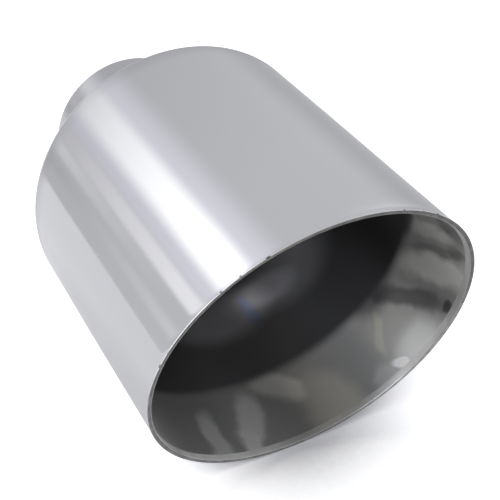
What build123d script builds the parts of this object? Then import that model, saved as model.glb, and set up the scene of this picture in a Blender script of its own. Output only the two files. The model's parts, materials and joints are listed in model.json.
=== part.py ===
"""Slant-cut exhaust tip: one spun shell of polished stainless sheet, open from end to end.

Frame: the axis is Y, the inlet mouth is at the origin and faces +Y, the outlet faces -Y,
and the long side of the slanted outlet is on top, towards +Z. Lengths are in millimetres.
"""

from build123d import *
from math import cos, radians, sin, tan
import os

# Outlet and body
outlet_diameter = 101.6     # outside, a four-inch tip
wall = 1.5                  # sheet thickness, the same from end to end
body_length = 92.0          # straight body on the axis, from the cut to the shoulder bend
slant_angle = 14.0          # tilt of the cut from square

# Inlet neck
pipe_diameter = 50.8        # the tail pipe that the neck slips over, two inches
slip_clearance = 0.8        # gap all round that pipe
neck_length = 25.4          # straight neck, from its mouth to the root bend, one inch

# Shoulder between body and neck
shoulder_angle = 35.0       # slope of the shoulder from square across the axis
bend_inside_radius = 3.0    # where the body turns in, on the inside of the sheet
root_outside_radius = 6.0   # where the shoulder turns into the neck, on the outside

# Edges
lip_depth = 1.0             # reach into the body of the dressed bevel inside the outlet
lip_blend = 0.8             # round where that bevel meets the inner wall
edge_break = 0.15           # bevel that polishing leaves along each cut edge

# Radii and limits that follow from the sheet
body_radius = outlet_diameter / 2
bore_radius = pipe_diameter / 2 + slip_clearance
neck_radius = bore_radius + wall
bend_outside_radius = bend_inside_radius + wall
lip_width = wall / 2
edge_bevel = min(edge_break, wall / 6)

# Places along the axis, worked out from the inlet mouth towards the outlet
turn = 90 - shoulder_angle
bends_drop = (bend_outside_radius + root_outside_radius) * (1 - cos(radians(turn)))
bends_length = (bend_outside_radius + root_outside_radius) * sin(radians(turn))
slope_drop = body_radius - neck_radius - bends_drop
slope_length = slope_drop / sin(radians(turn))
shoulder_length = bends_length + slope_length * cos(radians(turn))
body_end = -(neck_length + shoulder_length)
cut_centre = body_end - body_length
blank_end = cut_centre - body_radius * tan(radians(slant_angle)) - wall

# The slanted cut: its normal points out of the outlet and dips below the axis
cut_plane = Plane(
    origin=(0, cut_centre, 0),
    x_dir=(1, 0, 0),
    z_dir=(0, -cos(radians(slant_angle)), -sin(radians(slant_angle))),
)

with BuildPart() as tip_shell:
    # Half the section, with X as the radius: the outside line, then the sheet's thickness inwards
    with BuildSketch(Plane.XY):
        with BuildLine():
            body = Line((body_radius, blank_end), (body_radius, body_end))
            bend = JernArc(body @ 1, body % 1, bend_outside_radius, turn)
            slope = PolarLine(bend @ 1, slope_length, direction=bend % 1)
            root = JernArc(slope @ 1, slope % 1, root_outside_radius, -turn)
            neck = Line(root @ 1, (neck_radius, 0))
            offset(amount=wall, side=Side.LEFT)
        make_face()
    revolve(axis=Axis.Y)
    split(bisect_by=cut_plane, keep=Keep.BOTTOM)

    # Inside the outlet, half of the sheet's edge is dressed to a bevel that blends into the wall
    cut_face = tip_shell.faces().filter_by(GeomType.PLANE).sort_by(Axis.Y)[0]
    bore_edge = cut_face.inner_wires()[0].edges()
    chamfer(bore_edge, length=lip_width, length2=lip_depth, reference=cut_face)
    bevel_edges = tip_shell.edges(Select.LAST).filter_by(GeomType.BSPLINE)
    fillet(bevel_edges.sort_by(Axis.Y)[-1], radius=lip_blend)

    # Both flat ends lose their sharp edges, the outlet's inner edge before its outer one
    cut_face = tip_shell.faces().filter_by(GeomType.PLANE).sort_by(Axis.Y)[0]
    chamfer(cut_face.inner_wires()[0].edges(), length=edge_bevel)
    cut_face = tip_shell.faces().filter_by(GeomType.PLANE).sort_by(Axis.Y)[0]
    chamfer(cut_face.outer_wire().edges(), length=edge_bevel)
    neck_end = tip_shell.faces().filter_by(GeomType.PLANE).sort_by(Axis.Y)[-1]
    chamfer(neck_end.edges(), length=edge_bevel)
tip_shell.part.label = "tip_shell"

os.makedirs("parts", exist_ok=True)
export_step(tip_shell.part, "parts/tip_shell.step")
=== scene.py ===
"""Dresses the slant-cut exhaust tip: the polished shell, its studio and the camera.

Lengths are metres in the part's frame: Y is the common axis, the inlet mouth is at the
origin and faces +Y, the outlet faces -Y, and the long side of its slant is on top.
"""

import json
import math

import bmesh
import bpy
from bpy.props import FloatProperty, FloatVectorProperty, IntProperty, PointerProperty
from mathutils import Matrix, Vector


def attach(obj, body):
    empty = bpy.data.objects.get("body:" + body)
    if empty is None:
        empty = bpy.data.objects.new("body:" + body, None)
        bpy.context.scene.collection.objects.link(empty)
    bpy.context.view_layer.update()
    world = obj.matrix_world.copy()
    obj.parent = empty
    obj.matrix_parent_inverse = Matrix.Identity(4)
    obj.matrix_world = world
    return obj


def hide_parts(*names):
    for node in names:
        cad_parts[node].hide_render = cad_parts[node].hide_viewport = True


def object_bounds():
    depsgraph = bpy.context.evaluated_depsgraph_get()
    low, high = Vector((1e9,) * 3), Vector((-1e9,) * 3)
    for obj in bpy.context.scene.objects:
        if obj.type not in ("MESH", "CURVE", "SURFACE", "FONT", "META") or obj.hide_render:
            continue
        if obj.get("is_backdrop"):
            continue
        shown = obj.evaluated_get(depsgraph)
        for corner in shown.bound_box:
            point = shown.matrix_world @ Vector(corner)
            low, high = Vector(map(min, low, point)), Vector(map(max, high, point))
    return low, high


bl_info = {
    "name": "Exhaust Tip",
    "version": (1, 0, 0),
    "blender": (4, 5, 0),
    "location": "View3D > Sidebar > Exhaust Tip",
    "description": "Models a slant-cut exhaust tip of polished sheet and its studio",
    "category": "Object",
}

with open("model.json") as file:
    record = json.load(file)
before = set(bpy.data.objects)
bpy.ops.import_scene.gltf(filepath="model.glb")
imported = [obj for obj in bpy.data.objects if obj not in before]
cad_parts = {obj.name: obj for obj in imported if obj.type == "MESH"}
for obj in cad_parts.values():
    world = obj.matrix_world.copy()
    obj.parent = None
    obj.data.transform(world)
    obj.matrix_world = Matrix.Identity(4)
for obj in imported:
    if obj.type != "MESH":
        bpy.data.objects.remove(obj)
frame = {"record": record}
CAD_LOW, CAD_HIGH = (Vector(corner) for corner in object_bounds())
BORE = frame["record"]["mounts"][0]["dims"]["r_mm"] / 1000
MM = 0.001
TINY = 0.01 * MM
INSIDE_SLOT, DRESSED_SLOT, SAWN_SLOT = 1, 2, 3


class TipSizes(bpy.types.PropertyGroup):
    """Sizes of the sheet-metal shell."""

    segments: IntProperty(name="Segments", description="Faces round the shell", default=256)
    body_radius: FloatProperty(
        name="Body radius", description="Outside radius of the straight body",
        default=min(CAD_HIGH.x, CAD_HIGH.z), unit="LENGTH")
    body_length: FloatProperty(
        name="Body length",
        description="Straight body on the axis, from the cut to the shoulder bend",
        default=92 * MM, unit="LENGTH")
    bore_radius: FloatProperty(
        name="Bore radius", description="Inside radius of the neck", default=BORE, unit="LENGTH")
    wall: FloatProperty(
        name="Wall", description="Thickness of the sheet", default=1.5 * MM, unit="LENGTH")
    neck_length: FloatProperty(
        name="Neck length", description="Straight neck, from its mouth to the root bend",
        default=25.4 * MM, unit="LENGTH")
    slant: FloatProperty(
        name="Slant", description="Tilt of the outlet's cut from square",
        default=math.radians(14), subtype="ANGLE")
    shoulder: FloatProperty(
        name="Shoulder slope", description="Slope of the shoulder from square across the axis",
        default=math.radians(35), subtype="ANGLE")
    bend_radius: FloatProperty(
        name="Bend radius", description="Outside radius where the body turns into the shoulder",
        default=4.5 * MM, unit="LENGTH")
    root_radius: FloatProperty(
        name="Root radius", description="Outside radius where the shoulder turns into the neck",
        default=6 * MM, unit="LENGTH")
    lip_depth: FloatProperty(
        name="Lip depth", description="Fall of the dressed inner half of the cut edge",
        default=0.2 * MM, unit="LENGTH")
    lip_blend: FloatProperty(
        name="Lip blend", description="Round where that half meets the inner wall",
        default=0.3 * MM, unit="LENGTH")
    dressed_depth: FloatProperty(
        name="Dressed depth", description="Reach of the brightened strip inside the outlet",
        default=2.4 * MM, unit="LENGTH")
    buffed_depth: FloatProperty(
        name="Buffed depth", description="How far from the cut the outside is drawn in",
        default=2.6 * MM, unit="LENGTH")
    buffed_drop: FloatProperty(
        name="Buffed drop", description="How much the outermost ring is drawn in",
        default=0.09 * MM, unit="LENGTH")
    edge_round: FloatProperty(
        name="Edge round", description="Round left by polishing on the cut edges",
        default=0.19 * MM, unit="LENGTH")
    buffed_inside: FloatProperty(
        name="Buffed inside", description="How far from the cut the inner wall is buffed",
        default=30 * MM, unit="LENGTH")


class TipFinish(bpy.types.PropertyGroup):
    """Colours and polish of the shell."""

    steel: FloatVectorProperty(
        name="Polished steel", description="Colour of the polished outside",
        default=(0.62, 0.62, 0.635), size=3, min=0, max=1, subtype="COLOR")
    inside: FloatVectorProperty(
        name="Inside", description="Colour of the wall inside",
        default=(0.49, 0.49, 0.485), size=3, min=0, max=1, subtype="COLOR")
    dressed: FloatVectorProperty(
        name="Dressed strip", description="Colour of the strip inside the outlet",
        default=(0.72, 0.72, 0.715), size=3, min=0, max=1, subtype="COLOR")
    # Far darker than any steel: painted shade deep in the tube, on a duller unbuffed finish
    bare_and_shade: FloatVectorProperty(
        name="Bare inside", description="Colour of the unbuffed wall deep inside",
        default=(0.06, 0.06, 0.063), size=3, min=0, max=1, subtype="COLOR")
    sawn: FloatVectorProperty(
        name="Sawn edge", description="Colour of the cut face",
        default=(0.24, 0.24, 0.24), size=3, min=0, max=1, subtype="COLOR")


def pick(test, kind="edges"):
    """In edit mode, select the edges or faces that pass the test, and nothing else."""
    obj = bpy.context.edit_object
    bpy.ops.mesh.select_all(action="DESELECT")
    bpy.ops.mesh.select_mode(type="FACE" if kind == "faces" else "EDGE")
    mesh = bmesh.from_edit_mesh(obj.data)
    found = [item for item in getattr(mesh, kind) if test(item)]
    for item in found:
        item.select_set(True)
    mesh.select_flush_mode()
    bmesh.update_edit_mesh(obj.data)
    if not found:
        raise RuntimeError(f"no {kind} picked")


def radius_of(point):
    """Distance of a point from the axis."""
    return math.hypot(point.x, point.z)


def profile(sizes):
    """Turn of the bends, then the places of the root, the bend, the body's end and the cut."""
    turn = math.pi / 2 - sizes.shoulder
    root_y = -sizes.neck_length - sizes.root_radius * math.tan(turn / 2)
    drop = sizes.body_radius - (sizes.bore_radius + sizes.wall)
    bend_y = root_y - drop / math.tan(turn)
    body_end = bend_y - sizes.bend_radius * math.tan(turn / 2)
    return turn, root_y, bend_y, body_end, body_end - sizes.body_length


def ring(y, radius):
    """Test for the edges of a square ring."""
    return lambda edge: all(
        abs(v.co.y - y) < TINY and abs(radius_of(v.co) - radius) < TINY for v in edge.verts)


def faces_inwards(face):
    """Whether a face looks at the axis."""
    centre = face.calc_center_median()
    return face.normal.x * centre.x + face.normal.z * centre.z < -0.1 * radius_of(centre)


class TIP_OT_shell(bpy.types.Operator):
    """Model the spun shell with its slanted, dressed outlet"""

    bl_idname = "exhaust_tip.shell"
    bl_label = "Polished shell"

    def execute(self, context):
        sizes = context.scene.tip_sizes
        self.sizes = sizes
        self.neck_radius = sizes.bore_radius + sizes.wall
        self.turn, self.root_y, self.bend_y, self.body_end, self.cut_y = profile(sizes)
        self.cut_normal = Vector((0, -math.cos(sizes.slant), -math.sin(sizes.slant)))

        self.spin_blank()
        self.cut_outlet()
        self.close_ends()
        bpy.ops.object.mode_set(mode="OBJECT")
        bpy.ops.object.shade_smooth_by_angle(angle=math.radians(40))
        shell = context.object
        self.give_finishes(shell)
        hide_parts("tip_shell")
        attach(shell, "root")
        return {"FINISHED"}

    def extend(self, from_y, to_y, growth=1.0):
        """Draw the selected ring out along the axis and open it by the growth."""
        bpy.ops.mesh.extrude_region_move(TRANSFORM_OT_translate={"value": (0, to_y - from_y, 0)})
        bpy.ops.transform.resize(value=(growth, 1, growth), center_override=(0, to_y, 0))

    def round_corner(self, y, radius, bend_radius):
        """Round a corner ring to a true arc."""
        half = self.turn / 2
        sag = math.cos(half) / (1 + math.cos(half))
        pick(ring(y, radius))
        bpy.ops.mesh.bevel(
            offset_type="OFFSET", offset=bend_radius * math.tan(half), segments=14,
            profile=((1 + sag) / 2) ** 2, affect="EDGES", clamp_overlap=False)

    def spin_blank(self):
        """Neck, shoulder and an over-long body, and then the sheet's thickness."""
        sizes = self.sizes
        reach = sizes.body_radius * math.tan(sizes.slant)
        spare = 4 * MM
        blank_end = self.cut_y - reach - spare
        bpy.ops.object.select_all(action="DESELECT")
        bpy.ops.mesh.primitive_circle_add(
            vertices=sizes.segments, radius=self.neck_radius, fill_type="NOTHING",
            rotation=(math.pi / 2, 0, 0))
        bpy.context.object.name = "exhaust_tip_shell"
        bpy.ops.object.transform_apply(location=False, rotation=True, scale=False)
        bpy.ops.object.mode_set(mode="EDIT")
        bpy.ops.mesh.select_all(action="SELECT")
        self.extend(0, self.root_y)
        self.extend(self.root_y, self.bend_y, sizes.body_radius / self.neck_radius)
        self.extend(self.bend_y, blank_end)
        self.round_corner(self.root_y, self.neck_radius, sizes.root_radius)
        self.round_corner(self.bend_y, sizes.body_radius, sizes.bend_radius)

        # Rings beside each bend keep the straight parts straight in the shading
        slope_start = -sizes.neck_length - sizes.root_radius * math.sin(self.turn)
        slope_end = self.body_end + sizes.bend_radius * math.sin(self.turn)
        near = 0.6 * MM
        for y in (-sizes.neck_length + near, slope_start - near, slope_end + near,
                  self.body_end - near, self.body_end - 8 * MM, self.body_end - 40 * MM):
            bpy.ops.mesh.select_all(action="SELECT")
            bpy.ops.mesh.bisect(plane_co=(0, y, 0), plane_no=(0, 1, 0))
        bpy.ops.mesh.select_all(action="SELECT")
        bpy.ops.mesh.remove_doubles(threshold=TINY)
        bpy.ops.mesh.normals_make_consistent(inside=False)
        bpy.ops.object.mode_set(mode="OBJECT")
        sheet = bpy.context.object.modifiers.new("Sheet", "SOLIDIFY")
        sheet.thickness = sizes.wall
        sheet.offset = -1
        sheet.use_even_offset = True
        sheet.use_rim = False
        bpy.ops.object.modifier_apply(modifier=sheet.name)
        bpy.ops.object.mode_set(mode="EDIT")

    def depth(self, point):
        """How far a point lies behind the cut."""
        return -(point - Vector((0, self.cut_y, 0))).dot(self.cut_normal)

    def behind_cut(self, depth):
        """Where the axis passes the plane that lies this far behind the cut."""
        return Vector((0, self.cut_y + depth / math.cos(self.sizes.slant), 0))

    def wall_faces(self, inner):
        """Test for the faces of the outer or the inner wall near the cut."""
        middle = self.sizes.body_radius - self.sizes.wall / 2
        return lambda face: (
            face.calc_center_median().y < self.body_end - MM
            and (radius_of(face.calc_center_median()) < middle) == inner)

    def slanted_ring(self, inner, depth, growth=1.0):
        """Cut one wall by a plane behind the cut and open or close the new ring."""
        pick(self.wall_faces(inner), "faces")
        centre = self.behind_cut(depth)
        bpy.ops.mesh.bisect(plane_co=centre, plane_no=self.cut_normal)
        if growth != 1.0:
            bpy.ops.transform.resize(value=(growth,) * 3, center_override=centre)

    def cut_outlet(self):
        """Saw the slant, draw the outside in beside it and dress the inner half of the edge."""
        sizes = self.sizes
        bpy.ops.mesh.select_all(action="SELECT")
        bpy.ops.mesh.bisect(
            plane_co=self.behind_cut(0), plane_no=self.cut_normal, clear_outer=True)

        inner_radius = sizes.body_radius - sizes.wall
        steps = 7
        for step in range(steps):
            share = step / steps
            growth = 1 - sizes.buffed_drop * (1 - share) ** 2 / sizes.body_radius
            depth = sizes.buffed_depth * share
            if step:
                self.slanted_ring(False, depth, growth)
            else:
                pick(self.end_loop(False))
                bpy.ops.transform.resize(value=(growth,) * 3, center_override=self.behind_cut(0))
        self.slanted_ring(False, sizes.buffed_depth)
        self.slanted_ring(True, 2 * sizes.dressed_depth)
        self.slanted_ring(True, sizes.dressed_depth)
        self.slanted_ring(True, sizes.lip_depth)
        pick(self.end_loop(True))
        growth = 1 + sizes.wall / 2 / inner_radius
        bpy.ops.transform.resize(value=(growth,) * 3, center_override=self.behind_cut(0))

        # The dressed half blends into the wall
        pick(lambda edge: all(
            abs(self.depth(v.co) - sizes.lip_depth) < TINY
            and radius_of(v.co) < inner_radius + TINY for v in edge.verts))
        tilt = math.atan(sizes.wall / 2 / sizes.lip_depth)
        bpy.ops.mesh.bevel(
            offset_type="OFFSET", offset=sizes.lip_blend * math.tan(tilt / 2), segments=4,
            profile=0.5, affect="EDGES", clamp_overlap=False)

    def end_loop(self, inner):
        """Test for one wall's open edges in the plane of the cut."""
        middle = self.sizes.body_radius - self.sizes.wall / 2
        return lambda edge: all(
            abs(self.depth(v.co)) < TINY and (radius_of(v.co) < middle) == inner
            for v in edge.verts)

    def close_ends(self):
        """Join the two walls at the outlet and at the neck, and round the edges."""
        sizes = self.sizes
        pick(lambda edge: edge.is_boundary and abs(self.depth(edge.verts[0].co)) < TINY)
        bpy.ops.mesh.bridge_edge_loops()
        pick(lambda edge: edge.is_boundary and abs(edge.verts[0].co.y) < TINY)
        bpy.ops.mesh.bridge_edge_loops()
        bpy.ops.mesh.select_all(action="SELECT")
        bpy.ops.mesh.normals_make_consistent(inside=False)

        for distance in (self.depth, lambda point: point.y):
            pick(lambda edge: (
                all(abs(distance(v.co)) < TINY for v in edge.verts)
                and sum(abs(distance(f.calc_center_median())) < TINY for f in edge.link_faces) == 1))
            bpy.ops.mesh.bevel(
                offset_type="OFFSET", offset=sizes.edge_round, segments=4, profile=0.5,
                affect="EDGES", clamp_overlap=False)

    def near_cut(self, depth, skin):
        """Test for the faces near the cut that lie under the outermost skin of the sheet."""
        return lambda face: (
            self.depth(face.calc_center_median()) < depth
            and radius_of(face.calc_center_median()) < self.sizes.body_radius - skin)

    def give_finishes(self, shell):
        """Polish outside, duller steel inside, a dressed strip at the mouth and a sawn face."""
        for material in (polished_steel(), inside_steel(), dressed_steel(), sawn_steel()):
            shell.data.materials.append(material)
        sizes = self.sizes
        bpy.ops.object.mode_set(mode="EDIT")
        dressed = self.near_cut(sizes.dressed_depth, sizes.wall / 3)
        sawn = self.near_cut(0.7 * sizes.lip_depth, sizes.wall / 4)
        for slot, test in (
                (INSIDE_SLOT, faces_inwards), (DRESSED_SLOT, dressed), (SAWN_SLOT, sawn)):
            pick(test, "faces")
            shell.active_material_index = slot
            bpy.ops.object.material_slot_assign()
        bpy.ops.object.mode_set(mode="OBJECT")


def add_node(tree, kind, inputs=None, **settings):
    """A shader node with its settings, and its inputs linked or set."""
    made = tree.nodes.new("ShaderNode" + kind)
    for name, value in settings.items():
        setattr(made, name, value)
    for name, value in (inputs or {}).items():
        if isinstance(value, bpy.types.NodeSocket):
            tree.links.new(value, made.inputs[name])
        else:
            made.inputs[name].default_value = value
    return made


def maths(tree, operation, *values):
    """Output of a Math node."""
    return add_node(
        tree, "Math", {place: value for place, value in enumerate(values)},
        operation=operation).outputs[0]


def ramp(tree, value, low, high, to_low=0.0, to_high=1.0, smooth=False):
    """Output of a Map Range node."""
    return add_node(
        tree, "MapRange",
        {"Value": value, "From Min": low, "From Max": high, "To Min": to_low, "To Max": to_high},
        interpolation_type="SMOOTHSTEP" if smooth else "LINEAR").outputs["Result"]


def object_place(tree):
    """Outputs X, Y and Z of the point's place on the object."""
    place = add_node(tree, "TexCoord")
    return add_node(tree, "SeparateXYZ", {"Vector": place.outputs["Object"]}).outputs


def depth_node(tree):
    """Output that tells how far the point lies behind the slanted cut."""
    sizes = bpy.context.scene.tip_sizes
    cut_y = profile(sizes)[-1]
    _, y, z = object_place(tree)
    along = maths(tree, "MULTIPLY", maths(tree, "SUBTRACT", y, cut_y), math.cos(sizes.slant))
    return maths(tree, "ADD", along, maths(tree, "MULTIPLY", z, math.sin(sizes.slant)))


def mixed(tree, share, first, second):
    """Output of a Mix node between two colours, given as tuples or outputs."""
    mix = add_node(tree, "Mix", data_type="RGBA")
    for socket, value in ((0, share), (6, first), (7, second)):
        if isinstance(value, bpy.types.NodeSocket):
            tree.links.new(value, mix.inputs[socket])
        else:
            mix.inputs[socket].default_value = (*value, 1) if socket else value
    return mix.outputs[2]


def steel_material(name, colour, roughness, **sockets):
    """A metal with its own colour and roughness."""
    material = bpy.data.materials.new(name)
    material.use_nodes = True
    shader = material.node_tree.nodes["Principled BSDF"]
    for socket, value in {
            "Base Color": (*colour, 1), "Roughness": roughness, "Metallic": 1.0, **sockets}.items():
        shader.inputs[socket].default_value = value
    return material, material.node_tree, shader


# Place of the one dull mark on top
SMUDGE = (3.5 * MM, -109.4 * MM, 50.7 * MM)
# Buffing lines run round the tube: noise periods in a metre along the axis and across it
LINES_ALONG = 1300.0
LINES_ACROSS = 60.0
# Where the darker, rougher part toward the shoulder starts and is complete
SPUN_FROM, SPUN_TO = -53.5 * MM, -46.5 * MM
# Soft border between the buffed and the unbuffed inner wall, to each side
BUFFED_BORDER = 3 * MM
# How far noise bends the edges of patches: degrees round the tube, then millimetres of depth
BEND_ANGLE, BEND_DEPTH = 5, 3

# Soft patches that stand in for reflections on the inner wall: angle from the top and half
# width in degrees, depth behind the cut and half depth in millimetres, lean in degrees a
# millimetre, then the tint
WALL_PATCHES = (
    ("pale_blob", 90, 8, 15, 17, 0.45, (2.0, 2.0, 1.93)),
    ("pale_upper", 72, 5, 18, 12, 0.6, (1.5, 1.5, 1.46)),
    ("upper_line", 60, 2.6, 9, 9, 1.2, (0.80, 0.80, 0.80)),
    ("middle_line", 79, 2.8, 14, 15, 0.6, (0.72, 0.72, 0.72)),
    ("upper_end", 74, 13, 32, 5, 0.4, (0.30, 0.30, 0.31)),
    ("near_pale", 80, 6, 5, 7, 0.0, (1.35, 1.35, 1.35)),
    ("dark_streak", 108.5, 5.5, 19, 17, 0.65, (0.46, 0.46, 0.48)),
    ("dark_spot", 98, 3.4, 3.2, 2.0, 0.0, (0.36, 0.36, 0.37)),
    ("dark_right", 58, 9, 8, 8, 0.0, (0.62, 0.62, 0.62)),
    ("dark_notch", 74, 4, 7, 4, 0.0, (0.70, 0.70, 0.70)),
    ("window_patch", 117, 14, 3, 10, 0.0, (1.5, 1.52, 1.54)),
    ("white_spot", 129, 3.0, 3.8, 3.6, 0.5, (1.85, 1.92, 2.0)),
    ("tan_streak", 126, 2.6, 19, 9, -0.6, (1.22, 1.22, 1.12)),
    ("lower_edge", 136, 5, 4, 6, 0.0, (1.4, 1.4, 1.4)),
    ("lower_shine", 158, 12, 8, 19, 0.1, (1.45, 1.43, 1.34)),
    ("small_shine", 171, 8, 24, 9, 0.3, (1.9, 1.88, 1.80)),
    ("left_shine", 188, 6, 14, 14, -0.4, (1.9, 1.9, 1.9)),
    ("left_edge", 194, 5, 5, 7, 0.0, (1.5, 1.5, 1.5)),
    ("far_left_shine", 207, 5, 9, 14, -0.2, (2.1, 2.1, 2.1)),
    ("deep_right", 119, 16, 35, 12, 0.0, (0.36, 0.36, 0.38)),
)
# The same painted reflections for the unbuffed wall further down
DEEP_PATCHES = (
    ("deep_floor", 182, 52, 46, 34, 0.0, (1.8, 1.8, 1.8)),
    ("deep_right_wall", 112, 28, 44, 30, 0.0, (0.60, 0.60, 0.62)),
    ("deep_patch", 140, 28, 66, 14, 0.0, (2.3, 2.3, 2.3)),
    ("deep_streak", 149, 15, 65, 8, 0.3, (1.75, 1.75, 1.78)),
    ("deep_sheen", 174, 24, 64, 14, 0.0, (2.6, 2.6, 2.6)),
    ("deep_blue", 160.5, 3.0, 60, 10, 0.0, (0.86, 0.96, 1.25)),
)
# Painted reflections on the dressed strip, and then on the cut face
LIP_PATCHES = (
    ("right_darker", 118, 16, 1.5, 8, 0.0, (0.74, 0.74, 0.74)),
    ("left_brightened", 208, 22, 1.5, 8, 0.0, (1.32, 1.32, 1.32)),
)
CUT_PATCHES = (
    ("right_sheen", 118, 34, 0, 8, 0.0, (1.9, 1.9, 1.9)),
    ("left_sheen", 214, 20, 0, 8, 0.0, (1.15, 1.15, 1.15)),
)


def with_painted_reflections(tree, colour, patches, bend=1.0):
    """Colour multiplied by soft patches of painted reflection, each with a place on the tube and a
    tint.
    """
    x, _, z = object_place(tree)
    angle = maths(tree, "ADD", 180.0, maths(tree, "DEGREES", maths(
        tree, "ARCTAN2", maths(tree, "MULTIPLY", x, -1.0), maths(tree, "MULTIPLY", z, -1.0))))
    depth = maths(tree, "DIVIDE", depth_node(tree), MM)

    # Noise bends the edges of the patches
    spot = add_node(tree, "TexCoord").outputs["Object"]
    bends = add_node(tree, "TexNoise", {"Vector": spot, "Scale": 70.0, "Detail": 3.0}).outputs[1]
    bends = add_node(tree, "SeparateColor", {0: bends}).outputs
    turned, moved = BEND_ANGLE * bend, BEND_DEPTH * bend
    angle = maths(tree, "ADD", angle, ramp(tree, bends[0], 0.25, 0.75, -turned, turned))
    depth = maths(tree, "ADD", depth, ramp(tree, bends[1], 0.25, 0.75, -moved, moved))
    for _, place, half_width, middle, half_depth, lean, tint in patches:
        down = maths(tree, "SUBTRACT", depth, float(middle))
        middle_angle = maths(tree, "MULTIPLY", down, float(lean))
        across = maths(
            tree, "SUBTRACT", maths(tree, "SUBTRACT", angle, float(place)), middle_angle)
        squares = (
            maths(tree, "POWER", maths(tree, "DIVIDE", value, float(half)), 2.0)
            for value, half in ((across, half_width), (down, half_depth)))
        reach = maths(tree, "SQRT", maths(tree, "ADD", *squares))
        share = ramp(tree, reach, 1.2, 0.5, smooth=True)
        tinted = add_node(
            tree, "VectorMath", {0: colour, 1: tint}, operation="MULTIPLY").outputs[0]
        colour = mixed(tree, share, colour, tinted)
    return colour


def noise(tree, place, scale, detail):
    """Output of a Noise Texture node."""
    return add_node(
        tree, "TexNoise", {"Vector": place, "Scale": scale, "Detail": detail}).outputs[0]


def polished_steel():
    """Mirror polish with faint buffing lines, slow waves, specks of burr and haze."""
    finish = bpy.context.scene.tip_finish
    material, tree, shader = steel_material("polished_steel", finish.steel, 0.08)
    x, y, z = object_place(tree)
    round_lines = add_node(tree, "CombineXYZ", {
        0: maths(tree, "MULTIPLY", x, LINES_ACROSS), 1: maths(tree, "MULTIPLY", y, LINES_ALONG),
        2: maths(tree, "MULTIPLY", z, LINES_ACROSS)}).outputs[0]
    lines = noise(tree, round_lines, 1.0, 2.0)
    place = add_node(tree, "TexCoord").outputs["Object"]
    waves = noise(tree, place, 26.0, 1.0)
    wavy = add_node(tree, "Bump", {"Height": waves, "Distance": 0.10 * MM})
    lined = add_node(tree, "Bump", {
        "Height": lines, "Distance": 0.0012 * MM, "Normal": wavy.outputs[0]})
    tree.links.new(lined.outputs[0], shader.inputs["Normal"])

    # Specks of burr that the buffing has left along the upper edge of the cut
    edge = ramp(tree, depth_node(tree), 0.55 * MM, 0.2 * MM, smooth=True)
    burrs = noise(tree, place, 330.0, 2.0)
    burrs = maths(tree, "MULTIPLY", ramp(tree, burrs, 0.60, 0.66), edge)
    burrs = maths(tree, "MULTIPLY", burrs, ramp(tree, z, 0.0, 20 * MM))
    dark = tuple(0.12 * value for value in finish.steel)

    # Darker and rougher toward the shoulder, and on the shoulder and the neck
    spun = ramp(tree, y, SPUN_FROM, SPUN_TO, smooth=True)
    duller = tuple(0.86 * value for value in finish.steel)
    colour = mixed(tree, spun, tuple(finish.steel), duller)
    tree.links.new(mixed(tree, burrs, colour, dark), shader.inputs["Base Color"])

    # One dull fingertip mark on top
    from_mark = add_node(
        tree, "VectorMath", {0: place, 1: Vector(SMUDGE)}, operation="DISTANCE").outputs["Value"]
    mark = ramp(tree, from_mark, 5 * MM, 1.5 * MM, smooth=True)
    haze = noise(tree, place, 70.0, 3.0)
    polish = ramp(tree, haze, 0.3, 0.7, 0.07, 0.10)
    polish = maths(tree, "ADD", polish, maths(tree, "MULTIPLY", mark, 0.06))
    polish = maths(tree, "ADD", polish, maths(tree, "MULTIPLY", spun, 0.12))
    tree.links.new(polish, shader.inputs["Roughness"])
    return material


def inside_steel():
    """Buffed round and round near the mouth, and dull further down the tube, with painted
    reflections on both and painted shade in the dark colour further down.
    """
    finish = bpy.context.scene.tip_finish
    material, tree, shader = steel_material(
        "inside_steel", finish.inside, 0.36, Anisotropic=1.0, **{"Anisotropic Rotation": 0.25})
    tangent = add_node(tree, "Tangent", direction_type="RADIAL", axis="Y")
    tree.links.new(tangent.outputs[0], shader.inputs["Tangent"])
    border = bpy.context.scene.tip_sizes.buffed_inside
    deep = ramp(
        tree, depth_node(tree), border - BUFFED_BORDER, border + BUFFED_BORDER, smooth=True)
    # Both colours carry painted reflections, and the deeper one painted shade as well
    buffed = with_painted_reflections(tree, Vector(finish.inside), WALL_PATCHES, bend=0.5)
    bare_and_shade = with_painted_reflections(tree, Vector(finish.bare_and_shade), DEEP_PATCHES, bend=0.15)
    tree.links.new(mixed(tree, deep, buffed, bare_and_shade), shader.inputs["Base Color"])
    tree.links.new(ramp(tree, deep, 0, 1, 0.36, 0.5), shader.inputs["Roughness"])
    return material


def dressed_steel():
    """Satin strip that the dressing wheel leaves just inside the mouth, with painted reflections
    that darken it at the right and brighten it at the left.
    """
    finish = bpy.context.scene.tip_finish
    material, tree, shader = steel_material(
        "dressed_steel", finish.dressed, 0.5, Anisotropic=1.0, **{"Anisotropic Rotation": 0.25})
    tangent = add_node(tree, "Tangent", direction_type="RADIAL", axis="Y")
    tree.links.new(tangent.outputs[0], shader.inputs["Tangent"])
    place = add_node(tree, "TexCoord").outputs["Object"]
    touches = noise(tree, place, 90.0, 2.0)
    worn = tuple(0.8 * value for value in finish.dressed)
    colour = mixed(tree, ramp(tree, touches, 0.35, 0.65), worn, tuple(finish.dressed))
    tree.links.new(with_painted_reflections(tree, colour, LIP_PATCHES), shader.inputs["Base Color"])
    return material


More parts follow.
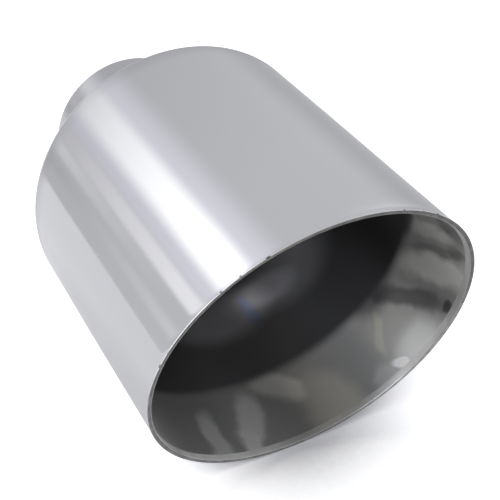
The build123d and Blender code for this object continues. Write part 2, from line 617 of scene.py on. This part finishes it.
def sawn_steel():
    """Grainy face of the slanted cut, brightened in places by painted reflections."""
    finish = bpy.context.scene.tip_finish
    material, tree, shader = steel_material("sawn_steel", finish.sawn, 0.5)
    place = add_node(tree, "TexCoord").outputs["Object"]
    grain = noise(tree, place, 420.0, 3.0)
    darker, lighter = (tuple(share * value for value in finish.sawn) for share in (0.78, 1.2))
    colour = mixed(tree, ramp(tree, grain, 0.35, 0.65), darker, lighter)
    tree.links.new(with_painted_reflections(tree, colour, CUT_PATCHES), shader.inputs["Base Color"])
    scored = add_node(tree, "Bump", {"Height": grain, "Distance": 0.02 * MM})
    tree.links.new(scored.outputs[0], shader.inputs["Normal"])
    return material


def add_plane(name, centre, width, height, facing):
    """A stage plane of the given size that looks along facing."""
    bpy.ops.object.select_all(action="DESELECT")
    bpy.ops.mesh.primitive_plane_add(size=1)
    plane = bpy.context.object
    plane.name = name
    plane.scale = (width, height, 1)
    plane.rotation_mode = "QUATERNION"
    plane.rotation_quaternion = Vector(facing).to_track_quat("Z", "Y")
    plane.location = centre
    bpy.ops.object.transform_apply(location=True, rotation=True, scale=True)
    plane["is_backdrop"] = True
    return plane


def emissive(name):
    """A material that only glows, with its tree and its glow."""
    material = bpy.data.materials.new(name)
    material.use_nodes = True
    tree = material.node_tree
    tree.nodes.clear()
    light = add_node(tree, "Emission")
    add_node(tree, "OutputMaterial", {"Surface": light.outputs[0]})
    return material, tree, light


def reflected_only(obj):
    """Let obj show in the polish and nowhere else."""
    obj.visible_camera = False
    obj.visible_diffuse = False
    obj.visible_shadow = False
    obj.visible_volume_scatter = False


# Soft strips in the tent: bearing from the top, half width and soft edge in degrees,
# then the glow at STRIPS_NEAR and at STRIPS_FAR, and a tint
BACK_STRIPS = (
    ("lamp_skirt", -32, 14, 20, 1.04, 0.88, (0.98, 0.985, 1.05)),
    ("main_lamp", -34.5, 5, 12, 1.92, 1.04, (0.99, 1.0, 1.01)),
    ("side_lamp", -65, 3, 6, 1.24, 0.74, (1.0, 1.0, 1.02)),
    ("side_gap", -54, 0, 6, 1.0, 0.78, (0.975, 0.98, 1.065)),
    ("low_glow", -76, 2, 5, 0.74, 0.84, (0.99, 1.0, 1.02)),
    ("low_lamp", -89, 1, 6, 0.88, 0.60, (0.99, 1.0, 1.02)),
    ("right_flag", 97, 11, 30, 0.56, 0.53, (0.98, 0.99, 1.02)),
)
FRONT_STRIPS = (
    ("left_window", -92, 16, 8, 3.10, 3.10, (1.0, 1.0, 1.0)),
    ("corner", -66, 2, 5, 3.51, 3.51, (1.0, 1.0, 1.03)),
    ("blue_wall", -48, 4, 8, 1.08, 1.08, (0.95, 1.0, 1.06)),
    ("tan_wall", -5, 8, 8, 0.84, 0.84, (1.05, 1.0, 0.94)),
    ("dark_gap", 28, 6, 8, 0.45, 0.45, (1.0, 1.0, 1.0)),
    ("pale_post", 60, 4, 6, 0.97, 0.97, (1.0, 1.0, 1.0)),
    ("dark_post", 77, 2, 5, 0.61, 0.61, (0.97, 1.0, 1.05)),
    ("pale_edge", 89, 2, 4, 0.84, 0.84, (1.0, 1.0, 1.0)),
    ("dark_side", 103, 3, 6, 0.38, 0.38, (1.0, 1.0, 1.0)),
)
# Strips on the floor in front: place, half width and soft edge along X in metres, then
# two glows and a tint
FLOOR_STRIPS = (
    ("dark_a", 0.076, 0.008, 0.008, 0.30, 0.30, (1.0, 1.0, 1.0)),
    ("dark_b", 0.036, 0.002, 0.006, 0.41, 0.41, (1.0, 1.0, 1.0)),
    ("pale_board", 0.014, 0.006, 0.008, 0.84, 0.84, (1.04, 1.0, 0.92)),
    ("dark_c", -0.016, 0.008, 0.010, 0.49, 0.49, (0.98, 1.0, 1.02)),
    ("left_light", -0.112, 0.035, 0.020, 2.70, 2.70, (1.0, 1.0, 1.0)),
)


# The tent: its radius, its axis beside the part, and where its two halves meet
TENT_RADIUS = 0.19
TENT_X = -0.027
TENT_JOINT = -0.12
# Where the strips have their near and their far glow
STRIPS_NEAR, STRIPS_FAR = 0.03, 0.20


class TIP_OT_stage(bpy.types.Operator):
    """Set the pale floor, the soft lights and the tent that the polish reflects"""

    bl_idname = "exhaust_tip.stage"
    bl_label = "Studio"

    def execute(self, context):
        self.floor()
        self.tent("tent_back", TENT_JOINT, 0.5, 0.76, 0.66, BACK_STRIPS)
        self.tent("tent_front", -0.75, TENT_JOINT, 0.68, 0.68, FRONT_STRIPS)
        self.lamps()
        self.world()
        return {"FINISHED"}

    def background_rays(self, tree):
        """Node output that is 1 for camera, glossy and transmission rays."""
        rays = add_node(tree, "LightPath").outputs
        seen = maths(tree, "MAXIMUM", rays["Is Camera Ray"], rays["Is Glossy Ray"])
        return maths(tree, "MAXIMUM", seen, rays["Is Transmission Ray"])

    def floor(self):
        """Pale floor that keeps the shadow; the polish sees it a little more evenly lit."""
        floor = add_plane("floor", (0, -0.05, CAD_LOW.z), 8, 8, (0, 0, 1))
        material, tree, lift = emissive("pale_floor")
        rays = add_node(tree, "LightPath").outputs
        glossy = rays["Is Glossy Ray"]
        seen = maths(tree, "SUBTRACT", self.background_rays(tree), glossy)
        toward_light = add_node(tree, "CombineXYZ", {0: -0.290, 1: 0.390, 2: 0.874}).outputs[0]
        sky = add_node(
            tree, "AmbientOcclusion", {"Distance": 130 * MM, "Normal": toward_light},
            samples=16).outputs["AO"]
        clear = ramp(tree, sky, 0.21, 0.62, 0.13, 1.0, smooth=True)
        overhead = add_node(
            tree, "AmbientOcclusion", {"Distance": 70 * MM}, samples=16).outputs["AO"]
        even = ramp(tree, overhead, 0.5, 1, 0.27, 0.55)
        level = maths(
            tree, "ADD", maths(tree, "MULTIPLY", seen, clear), maths(tree, "MULTIPLY", glossy, even))
        tree.links.new(level, lift.inputs["Strength"])
        matt = add_node(tree, "BsdfDiffuse", {
            "Color": mixed(tree, glossy, (0.61, 0.61, 0.64), (0.5, 0.5, 0.51))})
        both = add_node(tree, "AddShader", {0: matt.outputs[0], 1: lift.outputs[0]})
        x, y, _ = object_place(tree)
        colour = self.striped(tree, x, y, (0.61, 0.61, 0.60), FLOOR_STRIPS, -0.20, -0.14)
        front = add_node(tree, "Emission", {"Color": colour})
        share = maths(tree, "MULTIPLY", glossy, ramp(tree, y, -0.15, -0.19, smooth=True))
        final = add_node(tree, "MixShader", {0: share, 1: both.outputs[0], 2: front.outputs[0]})
        tree.links.new(final.outputs[0], tree.nodes["Material Output"].inputs["Surface"])
        floor.data.materials.append(material)

    def striped(self, tree, across, along, colour, strips, near_y, far_y):
        """Colour with soft-edged strips, each fading from its near to its far glow."""
        for _, place, half, soft, near, far, tint in strips:
            away = maths(tree, "ABSOLUTE", maths(tree, "SUBTRACT", across, float(place)))
            share = ramp(tree, away, half + soft, half, smooth=True)
            strip = add_node(
                tree, "VectorMath",
                {0: tint, "Scale": ramp(tree, along, near_y, far_y, near, far)},
                operation="SCALE").outputs[0]
            colour = mixed(tree, share, colour, strip)
        return colour

    def tent(self, name, start, end, near, far, strips):
        """One half of a round tent about the object, plain grey with soft strips along it."""
        bpy.ops.object.select_all(action="DESELECT")
        bpy.ops.mesh.primitive_cylinder_add(
            vertices=96, radius=TENT_RADIUS, depth=end - start, end_fill_type="NGON",
            location=(TENT_X, (start + end) / 2, 0), rotation=(math.pi / 2, 0, 0))
        tent = bpy.context.object
        tent.name = name
        bpy.ops.object.transform_apply(location=True, rotation=True, scale=True)
        bpy.ops.object.mode_set(mode="EDIT")
        pick(lambda face: abs(face.calc_center_median().y - TENT_JOINT) < MM, "faces")
        bpy.ops.mesh.delete(type="FACE")
        bpy.ops.object.mode_set(mode="OBJECT")
        tent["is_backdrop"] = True
        reflected_only(tent)
        material, tree, glow = emissive(name)
        x, y, z = object_place(tree)
        bearing = maths(tree, "DEGREES", maths(
            tree, "ARCTAN2", maths(tree, "SUBTRACT", x, TENT_X), z))
        level = ramp(tree, y, STRIPS_NEAR, STRIPS_FAR, near, far)
        plain = add_node(
            tree, "VectorMath", {0: (0.985, 0.99, 1.02), "Scale": level},
            operation="SCALE").outputs[0]
        colour = self.striped(tree, bearing, y, plain, strips, STRIPS_NEAR, STRIPS_FAR)
        if end == TENT_JOINT:
            fade = ramp(tree, y, TENT_JOINT - 0.07, TENT_JOINT, smooth=True)
            colour = mixed(tree, fade, colour, plain)
        tree.links.new(colour, glow.inputs["Color"])
        if start == TENT_JOINT:
            tree.links.new(self.brow(tree, bearing, y), glow.inputs["Strength"])
        tent.data.materials.append(material)

    def brow(self, tree, bearing, y):
        """Strength of the back half, with a brighter patch at the right over the outlet."""
        strength = ramp(tree, y, -0.046, -0.022, 1.2, 0.0, smooth=True)
        beside = maths(
            tree, "MULTIPLY", ramp(tree, bearing, 15, 45, smooth=True),
            ramp(tree, bearing, 105, 80, smooth=True))
        behind = ramp(tree, y, TENT_JOINT, TENT_JOINT + 0.03, smooth=True)
        patch = maths(tree, "MULTIPLY", strength, maths(tree, "MULTIPLY", beside, behind))
        return maths(tree, "ADD", 1.0, patch)

    def lamps(self):
        """One large soft lamp high at the back left, which the polish doesn't reflect."""
        light = bpy.data.lights.new("key_softbox", "AREA")
        light.shape = "RECTANGLE"
        light.size = 0.7
        light.size_y = 0.7
        light.energy = 9
        key = bpy.data.objects.new("key_softbox", light)
        bpy.context.scene.collection.objects.link(key)
        key.location = (-0.5, 0.4, 1.15)
        key.rotation_mode = "QUATERNION"
        aim = Vector((0, -0.08, 0)) - key.location
        key.rotation_quaternion = aim.to_track_quat("-Z", "Y")
        key.visible_glossy = False

    def world(self):
        """Even light all round, and a white background."""
        world = bpy.data.worlds.new("studio")
        bpy.context.scene.world = world
        world.use_nodes = True
        tree = world.node_tree
        background = tree.nodes["Background"]
        seen = self.background_rays(tree)
        tree.links.new(mixed(tree, seen, (0.31, 0.32, 0.36), (1, 1, 1)), background.inputs["Color"])


class TIP_OT_camera(bpy.types.Operator):
    """Place the camera where the photograph was taken from"""

    bl_idname = "exhaust_tip.camera"
    bl_label = "Camera"

    def execute(self, context):
        azimuth, elevation = math.radians(-27.0), math.radians(35.85)
        back = Vector((
            math.sin(azimuth) * math.cos(elevation),
            -math.cos(azimuth) * math.cos(elevation),
            math.sin(elevation)))
        lens = bpy.data.cameras.new("camera")
        lens.sensor_width = 36
        picture_width, focal_length = 500, 1050
        lens.lens = lens.sensor_width * focal_length / picture_width
        lens.clip_start = 0.01
        camera = bpy.data.objects.new("camera", lens)
        context.scene.collection.objects.link(camera)
        camera.location = (-0.11591, -0.32563, 0.19161)
        camera.rotation_mode = "QUATERNION"
        camera.rotation_quaternion = (-back).to_track_quat("-Z", "Y")
        context.scene.camera = camera
        return {"FINISHED"}


class TIP_PT_panel(bpy.types.Panel):
    """Sizes, finishes and steps of the exhaust tip"""

    bl_idname = "TIP_PT_panel"
    bl_label = "Exhaust Tip"
    bl_space_type = "VIEW_3D"
    bl_region_type = "UI"
    bl_category = "Exhaust Tip"

    def draw(self, context):
        layout = self.layout
        for group in (context.scene.tip_sizes, context.scene.tip_finish):
            for name in group.__annotations__:
                layout.prop(group, name)
        for operator in OPERATORS:
            layout.operator(operator.bl_idname)


OPERATORS = (TIP_OT_shell, TIP_OT_stage, TIP_OT_camera)
CLASSES = (TipSizes, TipFinish, *OPERATORS, TIP_PT_panel)


def register():
    for cls in CLASSES:
        bpy.utils.register_class(cls)
    bpy.types.Scene.tip_sizes = PointerProperty(type=TipSizes)
    bpy.types.Scene.tip_finish = PointerProperty(type=TipFinish)


def unregister():
    del bpy.types.Scene.tip_finish
    del bpy.types.Scene.tip_sizes
    for cls in reversed(CLASSES):
        bpy.utils.unregister_class(cls)


def main():
    register()
    bpy.context.scene.view_settings.view_transform = "Standard"
    bpy.ops.exhaust_tip.shell()
    bpy.ops.exhaust_tip.stage()
    bpy.ops.exhaust_tip.camera()


if __name__ == "__main__":
    main()
